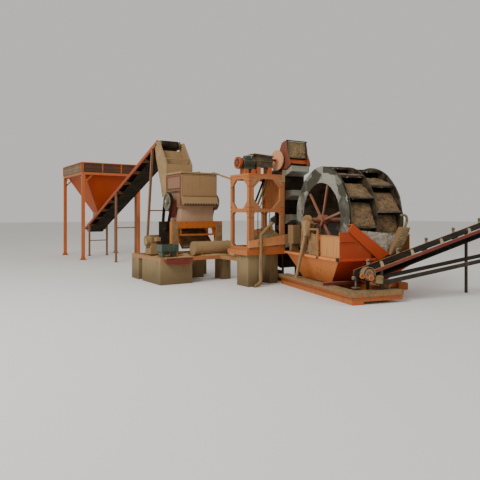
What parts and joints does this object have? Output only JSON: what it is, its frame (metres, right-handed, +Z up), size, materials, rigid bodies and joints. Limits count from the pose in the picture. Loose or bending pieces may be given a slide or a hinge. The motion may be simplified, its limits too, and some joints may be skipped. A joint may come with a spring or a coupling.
{
  "type": "crushing and sand washing line",
  "caption": "Quarry line: feed hopper and belt, crusher with flywheels on a skid, tower with bucket elevator, bucket-wheel sand washer and discharge belt.",
  "frame": {"origin": "on the ground under the middle of the crusher, at the underside of its middle pier", "axes": "+Z up, +Y along the feed conveyor from the crusher to the hopper, +X to the right seen from the front, along the rotor shaft"},
  "size_m": [9.4319, 19.8265, 4.7692],
  "materials": {
    "orange_steel": "weathered orange paint",
    "red_orange_steel": "weathered red-orange paint",
    "dusty_steel": "paint under tan dust",
    "pink_steel": "faded paint under dust",
    "maroon_steel": "dark red paint",
    "bare_steel": "worn bare steel",
    "rusty_steel": "rusty steel",
    "dark_steel": "dark greasy steel",
    "belt_rubber": "dusty black rubber",
    "boards": "weathered boards",
    "masonry": "stained concrete",
    "green_steel": "faded green paint"
  },
  "bodies": {
    "plant": {"hopper_cone": "red_orange_steel", "hopper_walls": "boards", "hopper_top_frame": "orange_steel", "hopper_legs": "orange_steel", "hopper_skirt": "dusty_steel", "feed_stringers": "red_orange_steel", "feed_cross_members": "orange_steel", "feed_belt": "belt_rubber", "feed_tail_drum": "bare_steel", "feed_idlers": "bare_steel", "feed_legs": "rusty_steel", "head_chute": "dusty_steel", "crusher_upper_body": "pink_steel", "crusher_hood": "dusty_steel", "crusher_lid": "dusty_steel", "crusher_lower_body": "pink_steel", "rotor_bearings": "maroon_steel", "crusher_frame": "orange_steel", "crusher_motor": "dusty_steel", "motor_pulley": "dark_steel", "drive_belts": "belt_rubber", "discharge_screen": "dark_steel", "roll_drum": "dusty_steel", "side_tubs": "green_steel", "crusher_skid": "orange_steel", "crusher_piers": "masonry", "tower_sides": "orange_steel", "tower_cross_frames": "dusty_steel", "tower_base": "orange_steel", "tower_piers": "masonry", "tower_deck": "orange_steel", "deck_motor": "dark_steel", "deck_gearbox": "dusty_steel", "tie_pole": "dusty_steel", "elevator_frame": "dark_steel", "elevator_band": "belt_rubber", "elevator_buckets": "dusty_steel", "trough": "dusty_steel", "drain_pipe": "dusty_steel", "tank_lower": "orange_steel", "tank_upper": "orange_steel", "wheel_bearings": "orange_steel", "washer_skid": "orange_steel", "sand_chute": "orange_steel", "discharge_stringers": "maroon_steel", "discharge_belt": "belt_rubber", "discharge_legs": "dark_steel"},
    "feed_drum": {"feed_head_drum": "bare_steel"},
    "rotor": {"rotor_shaft": "bare_steel", "flywheel_left": "bare_steel", "flywheel_right": "bare_steel"},
    "lift_head": {"elevator_head_drum": "maroon_steel", "elevator_disc": "orange_steel"},
    "bucket_wheel": {"wheel_rings": "bare_steel", "wheel_spokes": "rusty_steel", "wheel_buckets": "dusty_steel"},
    "tail_drum": {"discharge_tail_drum": "bare_steel"}
  },
  "joints": [
    {"name": "feed_drum_turn", "type": "hinge", "parent": "plant", "child": "feed_drum", "pos_m": [0, 1.8, 4.605], "axis": [1, 0, 0], "continuous": true},
    {"name": "rotor_turn", "type": "hinge", "parent": "plant", "child": "rotor", "pos_m": [-0.045, -0.1, 2.5], "axis": [1, 0, 0], "continuous": true},
    {"name": "lift_head_turn", "type": "hinge", "parent": "plant", "child": "lift_head", "pos_m": [2.265, -2.4, 3.785], "axis": [1, 0, 0], "continuous": true},
    {"name": "bucket_wheel_turn", "type": "hinge", "parent": "plant", "child": "bucket_wheel", "pos_m": [2.45114, -4.71034, 1.92], "axis": [0.9744, -0.225, 0], "continuous": true},
    {"name": "tail_drum_turn", "type": "hinge", "parent": "plant", "child": "tail_drum", "pos_m": [1.19138, -6.54395, 0.64], "axis": [0.225, 0.9744, 0], "continuous": true}
  ]
}
